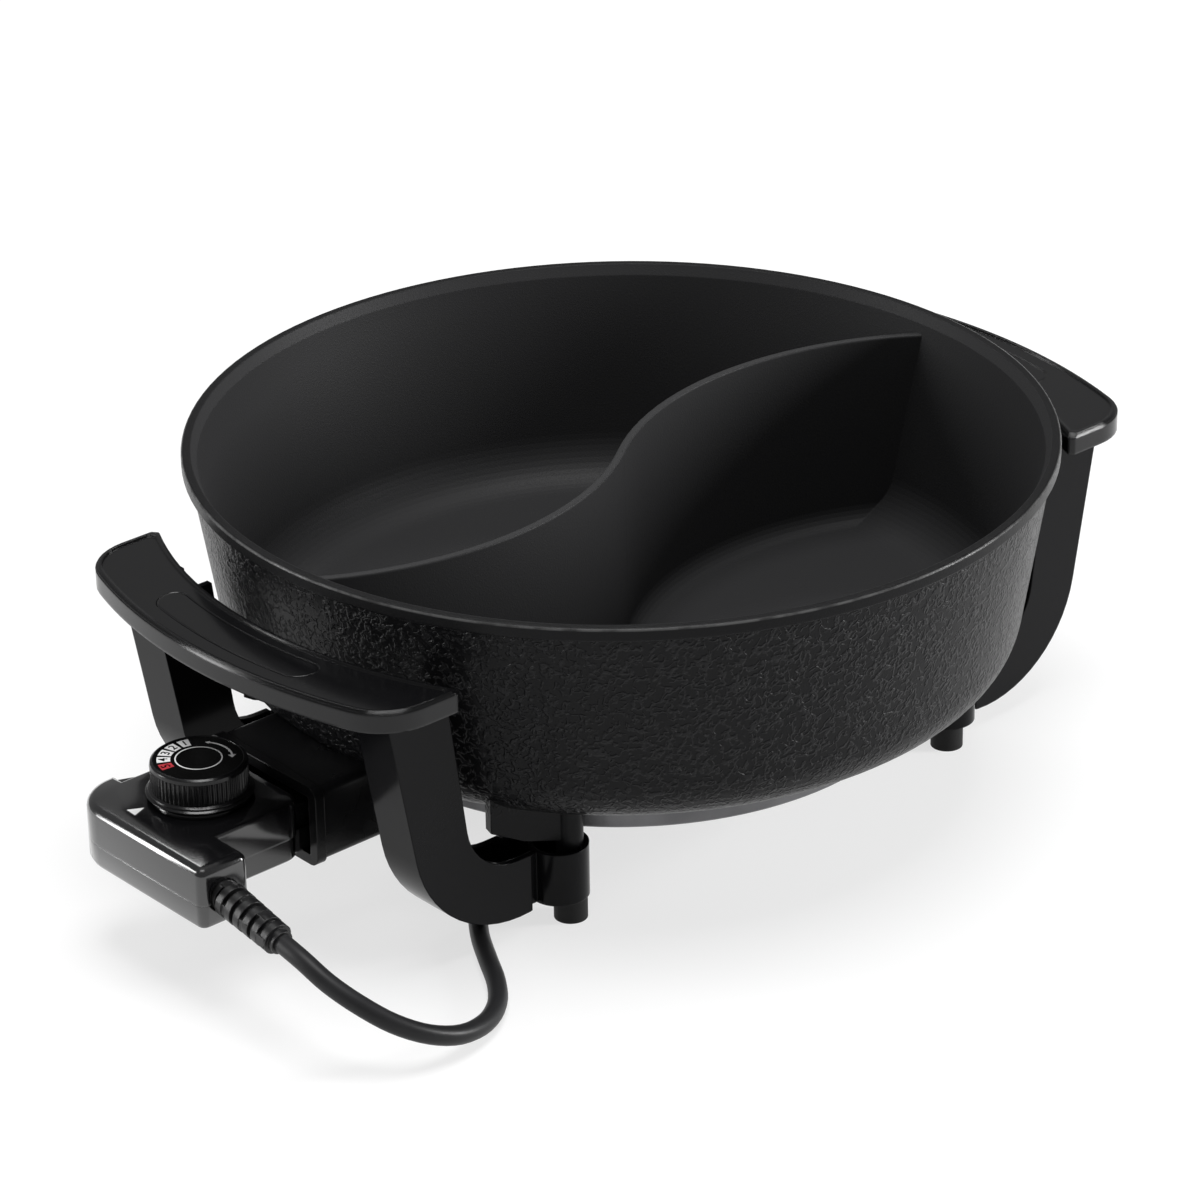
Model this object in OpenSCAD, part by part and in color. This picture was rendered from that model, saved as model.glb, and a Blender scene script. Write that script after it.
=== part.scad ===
// Split electric hot pot: a cast pan with an S-shaped divider, two handles whose
// hollow legs carry it, and a plug-in thermostat with a dial and a mains lead.
// Origin on the pan's axis at the surface the feet stand on, +Z up, -X towards
// the thermostat. All lengths are millimetres.

/* [Pan] */
// Outside diameter of the rim
rim_d = 320; // [300:2:384]
// Height of the pan from its underside to the rim
pan_h = 88; // [74:1:106]
// Height of the pan's underside above the floor
base_z = 46; // [44:1:55]
// Thickness of the side wall
wall_t = 3.2; // [2.6:0.1:4]
// Thickness of the pan's floor
floor_t = 4; // [3:0.5:6]
// Draft of the side wall from the vertical, in degrees
wall_draft = 9; // [6:0.5:11]
// Outside radius of the bottom corner
corner_r = 24; // [18:1:30]
// Height of the smooth band under the rim
rim_band = 5; // [4:0.5:8]
// How far that band stands out over the wall
rim_step = 2.6; // [1.5:0.1:3]
// Width of the rim's top face
rim_t = 3.6; // [3:0.1:5]

/* [Divider] */
// How far the divider's top lies below the rim
divider_drop = 8; // [4:1:20]
// Thickness of the divider at its top
divider_t = 3; // [2.4:0.2:5]
// How far each half of the S bulges from its chord
divider_bulge = 26; // [18:1:34]

/* [Heater] */
// Height of the cast heater ring under the pan
heater_h = 16; // [13:1:20]
// Width of that ring, measured along a radius
heater_w = 36; // [30:1:44]
// Diameter of the tubular element in it
element_d = 7.4; // [6.4:0.2:8]
// Distance from the middle of one terminal pin to the other
pin_gap = 30; // [26:1:34]
// Diameter of a terminal pin
pin_d = 4.4; // [4:0.2:5]
// Diameter of the sensing probe
probe_d = 8; // [7:0.5:9]
// Distance of pins and probe below the pan
pin_drop = 5.5; // [5.5:0.5:8]

/* [Handles] */
// Gap between the rim and a handle plate
handle_gap = 8; // [6:1:16]
// Depth of a handle plate, away from the pan
handle_w = 28.5; // [24:0.5:36]
// Half the length of a handle plate, along the rim
handle_half = 85.5; // [80:0.5:104]
// How far a plate's top lies below the rim
handle_drop = 20.7; // [14:0.5:28]
// Height of a plate's edge
handle_t = 8; // [7:0.5:12]
// Wall thickness of the hollow handles and legs
shell_t = 2.6; // [2:0.2:3.2]
// Width of a leg, along the rim
leg_w = 19; // [17:0.5:22]
// Radius of the bend at the bottom of a leg
leg_bend = 47; // [43:0.5:50]

/* [Feet] */
// Distance from the pan's axis to a foot, along X
foot_x = 94; // [86:1:100]
// Distance from the pan's axis to a foot, along Y
foot_y = 76.5; // [76:0.5:79]
// Diameter of a foot
foot_d = 12.2; // [10:0.2:13]
// Height of a foot under its collar
foot_h = 9.5; // [8:0.5:12]
// Diameter of a leg's collar
collar_d = 21.6; // [21:0.2:24]

/* [Terminal guard] */
// Width of the guard round the terminals
guard_w = 58; // [54:1:68]
// Height of the guard
guard_h = 29; // [28:1:34]
// How far the guard stands out in front of the rim
guard_reach = 10; // [6:1:14]

/* [Control] */
// Length of the control's cross bar
bar_l = 77; // [72:1:92]
// Width of that bar
bar_w = 21; // [20:0.5:26]
// Height of the control's housing
control_h = 23.5; // [22:0.5:27]
// Width of the neck that enters the guard
neck_w = 46; // [44:1:48]
// Wall thickness of the housing
case_t = 2.2; // [1.8:0.1:2.6]
// How far the control pulls out
pull = 70; // [66:1:90]

/* [Dial] */
// Diameter of the dial at its grip
dial_d = 34.4; // [30:0.2:40]
// Height of the dial from its skirt to its top
dial_h = 12.4; // [11:0.2:15]
// Number of grip ribs round the dial
dial_ribs = 60; // [40:2:72]
// Diameter of the dial's spindle
spindle_d = 6; // [5:0.5:7]

/* [Mains lead] */
// Diameter of the lead
lead_d = 7; // [6.4:0.1:7.4]
// Turns in the lead's coil, in two layers
coil_turns = 4.4; // [3.4:1:5.4]
// Radius at the middle of the coil's turns
coil_r = 36; // [34:1:40]
// Distance from one turn of the coil to the next
coil_pitch = 7.7; // [7.6:0.1:9]

/* [Hidden] */

FINE = 128;    // facets of large round surfaces
ROUND = 48;    // facets of small ones
fit = 0.1;     // radial clearance of a sliding fit
gap = 0.3;     // clearance between neighbours that don't touch
sink = 0.05;   // overlap that joins two shapes of one piece

// Pan: levels and the outside line of its wall.
rim_r = rim_d / 2;
rim_z = base_z + pan_h;
band_z = rim_z - rim_band;
function wall_r(z) = rim_r - rim_step - (band_z - z) * tan(wall_draft);
corner_z = base_z + corner_r;
corner_x = wall_r(corner_z) - corner_r / cos(wall_draft);
inner_corner_r = corner_r - floor_t;
inner_floor_z = base_z + floor_t;
inner_corner_z = inner_floor_z + inner_corner_r;
inner_corner_x = wall_r(inner_corner_z) - (wall_t + inner_corner_r) / cos(wall_draft);

// Divider: two arcs that meet at the pan's axis with one tangent.
divider_z = rim_z - divider_drop;
divider_reach = rim_r - 5;
divider_arc_r = divider_reach * divider_reach / (8 * divider_bulge) + divider_bulge / 2;
divider_arc_x = divider_reach / 2;
divider_arc_y = divider_arc_r - divider_bulge;

// Heater: the ring lies inside the flat of the pan's underside.
heater_z = base_z - heater_h;
heater_r = corner_x - 13;
element_r = heater_r - heater_w / 2;
pin_z = base_z - pin_drop;
pin_y = pin_gap / 2;
ring_end = 22;                              // half angle that the element's ring leaves open
elbow_r = (element_r * sin(ring_end) - pin_y) / (1 - sin(ring_end));
elbow_x = (element_r + elbow_r) * cos(ring_end);
sheath_x = heater_r + 12;                   // where the element's sheath ends
guide_r = probe_d / 2 + fit;
guide_t = 0.9;

// Guard and control: places along -X, measured from the pan's axis.
guard_x = rim_r + guard_reach;              // mouth of the guard
guard_z = heater_z;
guard_t = 3;
neck_end_x = guard_x - 22;                  // how far the neck reaches into the guard
pin_tip_x = guard_x - 7;
probe_tip_x = guard_x - 65;
dial_x = guard_x + 27;                      // axis of the dial
bar_in_x = guard_x + 40;
bar_out_x = bar_in_x + bar_w;
control_z = guard_z + guard_t + 0.5;        // underside of the housing
split_z = control_z + 9.5;                   // where its two shells meet
control_top = control_z + control_h;
neck_top = control_top - 5;
bar_y0 = -44;                               // end of the bar that the lead leaves
bar_y1 = bar_y0 + bar_l;
deck_x = guard_x + 3;                       // end of the deck round the dial
bar_corner_r = 18;                          // round corner at the bar's other end
dial_z = control_top + 2;
dial_top = dial_z + dial_h;

// Handles: plate between two arcs, both wider than the rim's.
plate_z1 = rim_z - handle_drop;
plate_z0 = plate_z1 - handle_t;
plate_in_x = rim_r + handle_gap;
plate_in_r = plate_in_x + 19;
plate_out_x = plate_in_x + handle_w;
plate_out_r = plate_out_x + 28.5;
plate_corner_r = 22;
leg_y = foot_y - 10.7;
leg_end_x = foot_x + 16.7;                    // where a leg's side walls end
leg_end_z = foot_h - 1.7;                     // underside of the leg there
leg_bend_x = foot_x + 21.8;
leg_bend_z = leg_end_z + leg_bend;
leg_in_r = 23;                              // inner radius of the same bend
leg_in_x = foot_x + 22.5;
leg_in_z = leg_end_z + 45.7;
leg_lean = 10.4;                            // lean of the leg's outer face, in degrees
leg_in_lean = 7.7;                          // lean of its inner edge
collar_x = foot_x + 2.5;
collar_y = foot_y - 3;
collar_top = foot_h + 20.5;
collar_t = 1.6;
collar_floor = foot_h + 3;
foot_floor = foot_h - 3.3;                  // rubber under the screw moulded into a foot
boss_r = 5;
screw_r = 1.6;

// Mains lead: the strain relief's ends and the route of the loose stretch.
relief_root = [-(bar_in_x + bar_w / 2 + 0.5), bar_y0, control_z + 11];
relief_tip = [-221, -75, 39];
relief_way = relief_tip - relief_root;
relief_len = norm(relief_way);
relief_dip = asin(-relief_way[2] / relief_len);
relief_swing = atan2(relief_way[0], -relief_way[1]);
lead_r = lead_d / 2;
lead_route = [
    relief_tip, [-221, -86, 37], [-219, -97, 32], [-214, -107, 26], [-206, -115, 19],
    [-195, -120, 12.5], [-182, -121, 7.5], [-168, -117, 4.5], [-156, -109, 3.5],
    [-147, -98, 3.5], [-139, -84, 3.5], [-130, -69, 3.5], [-118, -54, 3.5],
    [-103, -40, 3.5], [-86, -28, 3.5], [-68, -16, 3.5], [-50, -4, 3.5], [-32, 9, 3.5],
    [-15, 23, 3.5], [1, 38, 3.5], [18, 52, 3.5], [36, 65, 3.5], [54, 78, 3.5],
    [72, 91, 3.5], [90, 104, 3.5], [108, 117, 3.5], [125, 130, 4], [141, 142, 4.5]];

// Coil: a spiral in on the lower layer, a climb, and a spiral out on the upper one.
coil_in = lead_route[len(lead_route) - 1];
coil_from = lead_route[len(lead_route) - 2];
coil_heading = atan2(coil_in[1] - coil_from[1], coil_in[0] - coil_from[0]);
layer_turns = (coil_turns - 0.5) / 2;
coil_out_r = coil_r + coil_pitch * layer_turns / 2;
coil_in_r = coil_out_r - coil_pitch * layer_turns;
coil_lean = atan(coil_pitch / (2 * PI * coil_out_r));
coil_start = coil_heading - 90 - coil_lean;
coil_steps = 24;                            // rings in a turn
coil_rings = round(coil_turns * coil_steps);
tail_l = 28;                                // straight lead between the coil and the plug
coil_c = [coil_in[0] + lead_d * cos(coil_heading) - coil_out_r * cos(coil_start),
          coil_in[1] + lead_d * sin(coil_heading) - coil_out_r * sin(coil_start)];
function coil_rad(t) = t < layer_turns ? coil_out_r - coil_pitch * t
    : t < layer_turns + 0.5
        ? coil_in_r - coil_pitch * (t - layer_turns) * (1 - 2 * (t - layer_turns))
        : coil_in_r + coil_pitch * (t - layer_turns - 0.5);
function coil_lift(t) = coil_in[2] + coil_pitch * min(1, max(0, 2 * (t - layer_turns)));
function coil_point(t) = let (a = coil_start + 360 * t)
    [coil_c[0] + coil_rad(t) * cos(a), coil_c[1] + coil_rad(t) * sin(a), coil_lift(t)];
coil_end = coil_point(coil_turns);
plug_heading = coil_start + 360 * coil_turns + 90 - coil_lean;
plug_way = [cos(plug_heading), sin(plug_heading), 0];
plug_at = coil_end + tail_l * plug_way;
coil_path = concat([coil_in],
    [for (i = [0 : coil_rings]) coil_point(coil_turns * i / coil_rings)], [plug_at]);
coil_least = min([for (i = [1 : coil_rings]) for (j = [i + 12 : 1 : coil_rings + 1])
    norm(coil_path[i] - coil_path[j])]) - lead_d;
function path_length(p) = len(p) < 2 ? 0
    : let (d = [for (i = [1 : len(p) - 1]) norm(p[i] - p[i - 1])]) d * [for (x = d) 1];
echo(least_gap_of_the_coil_to_itself = coil_least);
echo(length_of_the_lead = path_length(lead_route) + path_length(coil_path));
echo(plug_starts_at = plug_at, plug_heading = plug_heading % 360);
plug_t = 2 * coil_end[2];
plug_w = 28;
plug_l = 32;
plug_neck_l = 22;

BLACK = "#1c1c1e";
GLOSS = "#141416";
STEEL = "#b9bcc0";
GREY = "#8d9094";
BRASS = "#b99a55";

// Points of an arc of radius r about (x, y), from angle a0 to a1.
function arc(x, y, r, a0, a1, n = 8) = [for (i = [0 : n])
    let (a = a0 + (a1 - a0) * i / n) [x + r * cos(a), y + r * sin(a)]];

// Repeats its children in the four corners round the pan's axis.
module at_corners() {
    for (x = [0, 1], y = [0, 1]) mirror([x, 0, 0]) mirror([0, y, 0]) children();
}

// ---- Pan ----

// Outside line of the pan, moved out by grow.
function pan_outline(grow) = concat(
    [[0, base_z - grow]],
    arc(corner_x, corner_z, corner_r + grow, -90, -wall_draft, 12),
    [[wall_r(band_z) + grow, band_z - 0.6 - grow],
     [rim_r - 0.6 + grow, band_z - grow], [rim_r + grow, band_z + 0.6],
     [rim_r + grow, rim_z - 0.9], [rim_r - 0.3 + grow, rim_z - 0.3],
     [rim_r - 0.9, rim_z + grow], [0, rim_z + grow]]);

// Inside line of the pan, moved out by grow.
function cavity_outline(grow) = concat(
    [[0, inner_floor_z - grow]],
    arc(inner_corner_x, inner_corner_z, inner_corner_r + grow, -90, -wall_draft, 12),
    [[wall_r(rim_z - 4) - wall_t / cos(wall_draft) + grow, rim_z - 4],
     [rim_r - rim_t - 0.5 + grow, rim_z - 1], [rim_r - rim_t + grow, rim_z],
     [rim_r - rim_t + grow, rim_z + 1], [0, rim_z + 1]]);

module pan_body(grow) {
    rotate_extrude($fn = FINE) polygon(pan_outline(grow));
}

// Section of the divider across its thickness: drafted, with a round top and feet
// that flow into the pan's floor.
function divider_half(s) = concat(
    [[s * (divider_t / 2 + 8), inner_floor_z - 1], [s * (divider_t / 2 + 8), inner_floor_z]],
    [for (p = arc(divider_t / 2 + 8, inner_floor_z + 7, 7, -90, -178, 6)) [s * p[0], p[1]]],
    [for (p = arc(divider_t / 2 - 0.8, divider_z - 0.8, 0.8, 0, 90, 3)) [s * p[0], p[1]]]);

module divider_arc() {
    reach = 62;
    from = atan2(-divider_arc_y, divider_arc_x);
    rotate([0, 0, from - reach - 12]) rotate_extrude(angle = reach + 12 + 25, $fn = FINE)
        translate([divider_arc_r, 0])
            polygon(concat(divider_half(-1), [for (i = [11 : -1 : 0]) divider_half(1)[i]]));
}

module divider() {
    intersection() {
        union() {
            for (turn = [0, 180]) rotate([0, 0, turn])
                intersection() {
                    translate([-divider_arc_x, divider_arc_y, 0]) divider_arc();
                    translate([-rim_r - sink, -rim_r, 0]) cube([rim_r + 2 * sink, rim_d, rim_z]);
                }
        }
        rotate_extrude($fn = FINE) polygon(cavity_outline(wall_t / 2));
    }
}

// Boss over a foot, with the web that ties it to the pan's corner.
module pan_lug() {
    web_t = 4.5;
    web_l = 31;
    translate([foot_x, foot_y, collar_floor])
        cylinder(r = boss_r, h = base_z + 7 - collar_floor, $fn = ROUND);
    translate([foot_x, foot_y, 0]) rotate([0, 0, -16]) translate([0, web_t / 2, 0])
        rotate([90, 0, 0]) linear_extrude(web_t)
            polygon([[0, collar_floor + 19], [web_l * 0.6, base_z - 10], [web_l, base_z - 4],
                     [web_l, base_z + 10], [0, base_z + 10]]);
}

module pan() color(BLACK) {
    difference() {
        union() {
            pan_body(0);
            at_corners() pan_lug();
        }
        rotate_extrude($fn = FINE) polygon(cavity_outline(0));
        at_corners() translate([foot_x, foot_y, collar_floor - 1])
            cylinder(r = screw_r, h = 19, $fn = ROUND);
    }
    divider();
}

// ---- Heater ----

// Path of the tubular element as a rod of radius r: ring, elbows, straight ends, and
// the sleeves in which they meet.
module element_rod(r) {
    sleeve = r + 0.4;
    split = 0.2;
    translate([0, 0, pin_z]) {
        rotate([0, 0, ring_end - 180]) rotate_extrude(angle = 360 - 2 * ring_end, $fn = FINE)
            translate([element_r, 0]) circle(r = r, $fn = 12);
        for (y = [0, 1]) mirror([0, y, 0]) {
            translate([-elbow_x, (element_r + elbow_r) * sin(ring_end), 0])
                rotate([0, 0, -90]) rotate_extrude(angle = 89 - ring_end, $fn = FINE)
                    translate([elbow_r, 0]) circle(r = r, $fn = 12);
            translate([-element_r * cos(ring_end), element_r * sin(ring_end), 0])
                rotate([90, 0, -ring_end]) translate([0, 0, -1.2])
                    cylinder(r = sleeve, h = 2.4, $fn = ROUND);
            translate([1.2 - elbow_x, pin_y, 0]) rotate([0, -90, 0])
                cylinder(r = sleeve, h = 2.4, $fn = ROUND);
            translate([-elbow_x - split, pin_y, 0]) rotate([0, -90, 0])
                cylinder(r = r, h = sheath_x - elbow_x - split, $fn = 12);
        }
    }
}

module heater_casting() color(GREY) {
    inner = heater_r - heater_w;
    difference() {
        rotate_extrude($fn = FINE) polygon([
            [0, base_z - 3], [inner - 6, base_z - 3], [inner, base_z - 8], [inner, heater_z + 2],
            [inner + 2, heater_z], [heater_r - 1, heater_z], [heater_r, heater_z + 1],
            [heater_r, base_z], [0, base_z]]);
        element_rod(element_d / 2);
        translate([-inner + 12, 0, pin_z]) rotate([0, -90, 0])
            cylinder(r = guide_r + guide_t, h = heater_w + 14, $fn = ROUND);
        for (s = [-1, 1]) translate([8 - heater_r, s * 21, heater_z - 1])
            cylinder(r = screw_r, h = 6.5, $fn = ROUND);
    }
}

module heating_element() color(STEEL) element_rod(element_d / 2);

module terminal_pins() color(STEEL)
    for (s = [-1, 1]) translate([-sheath_x, s * pin_y, pin_z]) rotate([0, -90, 0]) {
        cylinder(r = pin_d / 2, h = pin_tip_x - sheath_x - 1.2, $fn = ROUND);
        translate([0, 0, pin_tip_x - sheath_x - 1.2])
            cylinder(r1 = pin_d / 2, r2 = pin_d / 2 - 1, h = 1.2, $fn = ROUND);
    }

module pin_insulators() color("#e9e4d6")
    for (s = [-1, 1]) translate([-sheath_x, s * pin_y, pin_z]) rotate([0, -90, 0])
        difference() {
            union() {
                cylinder(r = element_d / 2 + 0.4, h = 4, $fn = ROUND);
                translate([0, 0, 4]) cylinder(r = element_d / 2 - 0.5, h = 3, $fn = ROUND);
            }
            translate([0, 0, -1]) cylinder(r = pin_d / 2, h = 9, $fn = ROUND);
        }

// Tube that leads the probe into the heater casting.
module probe_guide() color(STEEL)
    translate([14 - heater_r, 0, pin_z]) rotate([0, -90, 0])
        difference() {
            union() {
                cylinder(r = guide_r + guide_t, h = 34, $fn = ROUND);
                translate([0, 0, 31]) cylinder(r1 = guide_r + guide_t, r2 = guide_r + 2.4,
                                               h = 5, $fn = ROUND);
            }
            translate([0, 0, -1]) cylinder(r = guide_r, h = 40, $fn = ROUND);
            translate([0, 0, 32.5]) cylinder(r1 = guide_r, r2 = guide_r + 1.4, h = 4, $fn = ROUND);
        }

// ---- Handles ----

// Plan of a handle plate, drawn in by inset.
function plate_plan(inset) =
    let (ri = plate_in_r + inset, ro = plate_out_r - inset, y = handle_half - inset,
         f = max(plate_corner_r - inset, 1), ci = plate_in_x - plate_in_r,
         co = plate_out_x - plate_out_r,
         ai = asin((y - 2) / ri), fx = co + sqrt((ro - f) * (ro - f) - (y - f) * (y - f)),
         af = asin((y - f) / (ro - f)),
         ix = ci + ri * cos(ai))
    concat(arc(ci, 0, ri, ai, -ai, 24),
           [[ix + 1.6, -y]], arc(fx, f - y, f, -90, -af, 8),
           arc(co, 0, ro, 1 - af, af - 1, 24),
           arc(fx, y - f, f, af, 90, 8), [[ix + 1.6, y]]);

// Places of a leg's outer face and inner edge at height z, both moved outwards.
function leg_out_at(z, d) = leg_bend_x + (leg_bend + d) / cos(leg_lean)
    + (z - leg_bend_z) * tan(leg_lean);
function leg_in_at(z, d) = leg_in_x + (leg_in_r + d) / cos(leg_in_lean)
    + (z - leg_in_z) * tan(leg_in_lean);

// Side view of a leg, x outwards and y up: the outer line lies inset from the
// leg's face, and the inner line moves open towards the pan.
function leg_side(inset, open, end, top) =
    concat([[end, leg_end_z + inset + 0.4]],
           arc(leg_bend_x, leg_bend_z, leg_bend - inset, -95, -leg_lean, 14),
           [[leg_out_at(top, -inset), top], [leg_in_at(top, -open), top]],
           arc(leg_in_x, leg_in_z, leg_in_r - open, -leg_in_lean, -90, 10),
           [[end, leg_in_z - leg_in_r + open]]);

// A slab with the given side view, as thick as t along Y, centred on the leg.
module leg_slab(profile, t) {
    translate([0, leg_y + t / 2, 0]) rotate([90, 0, 0]) linear_extrude(t) polygon(profile);
}

// Link from the leg's end to the collar, x outwards and y up.
link_side = [
    [collar_x - 2, foot_h + 0.3], [leg_end_x + 2, foot_h + 0.3],
    [leg_end_x + 2, collar_top - 0.3], [collar_x - 2, collar_top - 0.3]];

module handle() {
    difference() {
        union() {
            translate([0, 0, plate_z0]) linear_extrude(handle_t - 1.1) polygon(plate_plan(0));
            translate([0, 0, plate_z1 - 1.2]) linear_extrude(0.7) polygon(plate_plan(0.35));
            translate([0, 0, plate_z1 - 0.6]) linear_extrude(0.6) polygon(plate_plan(1));
        }
        translate([0, 0, plate_z0 - 1]) linear_extrude(handle_t + 1 - shell_t)
            polygon(plate_plan(shell_t));
        translate([0, 0, plate_z1 - 0.6]) linear_extrude(2) polygon(plate_plan(2.4));
    }
    for (y = [0, 1]) mirror([0, y, 0]) {
        difference() {
            union() {
                difference() {
                    union() {
                        leg_slab(leg_side(0, 0, leg_end_x, plate_z0 - 4), leg_w);
                        intersection() {
                            leg_slab([for (q = [[0, -5, 0], [1, -5, 0], [1, 0, 0], [1, 7, -1],
                                                [0, 7, 9], [0, 0, 9]])
                                let (z = plate_z0 + q[1])
                                [(q[0] == 1 ? leg_out_at(z, q[2]) : leg_in_at(z, q[2])), z]], leg_w);
                            translate([0, 0, plate_z0 - 9])
                                linear_extrude(handle_t + 9 - shell_t + sink)
                                polygon(plate_plan(0.8));
                        }
                    }
                    leg_slab(leg_side(shell_t, 9, leg_end_x - 1, plate_z1 - shell_t - 1),
                             leg_w - 2 * shell_t);
                }
                difference() {
                    leg_slab(link_side, leg_w - 2.6);
                    leg_slab([for (p = link_side) [p[0] + 4, p[1] + 2.4]], leg_w - 7.4);
                }
                translate([collar_x, collar_y, foot_h])
                    cylinder(d = collar_d, h = collar_top - foot_h, $fn = ROUND);
            }
            translate([collar_x, collar_y, collar_floor])
                cylinder(r = collar_d / 2 - collar_t, h = 40, $fn = ROUND);
            translate([foot_x, foot_y, foot_h - 1]) cylinder(r = 4, h = 9, $fn = ROUND);
        }
    }
}

module rear_handle() color(GLOSS) handle();

module front_handle() color(GLOSS) rotate([0, 0, 180]) handle();

module feet() color(BLACK) at_corners() translate([foot_x, foot_y, 0])
    difference() {
        union() {
            cylinder(d = foot_d, h = foot_h, $fn = ROUND);
            translate([0, 0, foot_h - sink]) cylinder(r = 3.9, h = 3 + sink, $fn = ROUND);
        }
        translate([0, 0, foot_floor + 1]) cylinder(r = screw_r + 0.2, h = 20, $fn = ROUND);
        translate([0, 0, foot_floor]) cylinder(r = 3.7, h = 1.8, $fn = ROUND);
    }

// Pan-head screw, head down, its shank h long above the head.
module screw(h, head_r) {
    difference() {
        union() {
            cylinder(r1 = head_r - 0.6, r2 = head_r, h = 1.8, $fn = ROUND);
            translate([0, 0, 1.8 - sink]) cylinder(r = screw_r, h = h + sink, $fn = ROUND);
        }
        for (a = [0, 90]) rotate([0, 0, a]) translate([-0.4, -1.6, -1]) cube([0.8, 3.2, 2]);
    }
}

module foot_screws() color(STEEL)
    at_corners() translate([foot_x, foot_y, foot_floor])
        screw(collar_floor + 15.7 - foot_floor, 3.3);

// ---- Terminal guard ----

// Rounded box section across X, drawn in by inset.
function guard_plan(inset, r = 3) =
    let (w = guard_w / 2 - inset, z0 = guard_z + inset, z1 = guard_z + guard_h - inset,
         f = max(r - inset, 0.8))
    concat(arc(w - f, z0 + f, f, -90, 0, 4), arc(w - f, z1 - f, f, 0, 90, 4),
           arc(f - w, z1 - f, f, 90, 180, 4), arc(f - w, z0 + f, f, 180, 270, 4));

// Extrudes a plan of (y, z) points along X from -x1 to -x0.
module along_x(x0, x1, plan) {
    translate([-x1, 0, 0]) rotate([90, 0, 90]) linear_extrude(x1 - x0) polygon(plan);
}

module terminal_guard() color(BLACK) {
    difference() {
        union() {
            along_x(heater_r - 8, guard_x, guard_plan(0));
            along_x(guard_x - 4, guard_x, guard_plan(-1));
        }
        along_x(heater_r - 20, guard_x + 1, guard_plan(guard_t));
        pan_body(gap);
        translate([0, 0, guard_z - 5]) cylinder(r = heater_r + gap, h = guard_h, $fn = FINE);
    }
    for (s = [-1, 1]) difference() {
        translate([-heater_r - 4, s * 21 - 5, guard_z - 2.4]) cube([18, 10, 2.4]);
        translate([8 - heater_r, s * 21, guard_z - 5]) cylinder(r = screw_r, h = 9, $fn = ROUND);
    }
}

module guard_screws() color(STEEL)
    for (s = [-1, 1]) translate([8 - heater_r, s * 21, guard_z - 4.2]) screw(7, 3.2);

// ---- Control ----

// Plan of the cross bar, drawn in by inset; its far end has the large corner.
function bar_plan(inset) =
    let (x0 = -bar_out_x + inset, x1 = -bar_in_x - inset, y0 = bar_y0 + inset,
         y1 = bar_y1 - inset, f = max(3.2 - inset, 0.6), k = max(1.5 - inset, 0.5),
         g = min(bar_corner_r - inset, bar_w - 2 * inset - k - 0.2))
    concat(arc(x0 + f, y0 + f, f, 180, 270, 4), arc(x1 - f, y0 + f, f, 270, 360, 4),
           arc(x1 - k, y1 - k, k, 0, 90, 3),
           arc(x0 + g, y1 - g, g, 90, 180, 10));

// Plan of the neck, half of it w wide, drawn in by inset.
function neck_plan(w, inset) =
    let (x1 = -neck_end_x - inset, f = max(2.5 - inset, 0.6))
    concat([[-bar_in_x - 4, w - inset], [-bar_in_x - 4, inset - w]],
           arc(x1 - f, f + inset - w, f, -90, 0, 4), arc(x1 - f, w - f - inset, f, 0, 90, 4));

// Plan of the deck round the dial, half of it w wide, drawn in by inset.
function deck_plan(w, inset) =
    let (x1 = -deck_x - inset, h = w - inset, f = max(7 - inset, 0.6))
    concat([[-bar_in_x - 3.4, h], [-bar_in_x - 3.4, -h]],
           arc(x1 - f, f - h, f, -90, 0, 6), arc(x1 - f, h - f, f, 0, 90, 6));

neck_half = neck_w / 2;
deck_half = neck_half + 4;
neck_top_half = neck_half - 1.5;

// Solid through plans of equal length, stacked at the heights in levels.
module loft(levels, plans) {
    n = len(plans[0]);
    top = len(levels) - 1;
    polyhedron(
        points = [for (i = [0 : top]) for (p = plans[i]) [p[0], p[1], levels[i]]],
        faces = concat([[for (j = [0 : n - 1]) j]], [[for (j = [n - 1 : -1 : 0]) top * n + j]],
            [for (i = [0 : top - 1], j = [0 : n - 1])
                let (a = i * n + j, b = i * n + (j + 1) % n) each [[b, a, a + n], [b, a + n, b + n]]]),
        convexity = 4);
}

// Bore through the housing that follows the strain relief's axis.
module relief_bore(r) {
    translate(relief_root) rotate([0, 0, relief_swing]) rotate([90 + relief_dip, 0, 0])
        translate([0, 0, -4.5]) cylinder(r = r, h = 10, $fn = ROUND);
}

// Holes that both shells leave for the probe and the terminal receptacles.
module neck_holes() {
    for (y = [-pin_y, 0, pin_y])
        translate([-neck_end_x - 4, y, pin_z]) rotate([0, 90, 0])
            cylinder(r = (y == 0 ? probe_d / 2 : pin_d / 2 + 1.4) + fit, h = 8, $fn = ROUND);
}

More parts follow.
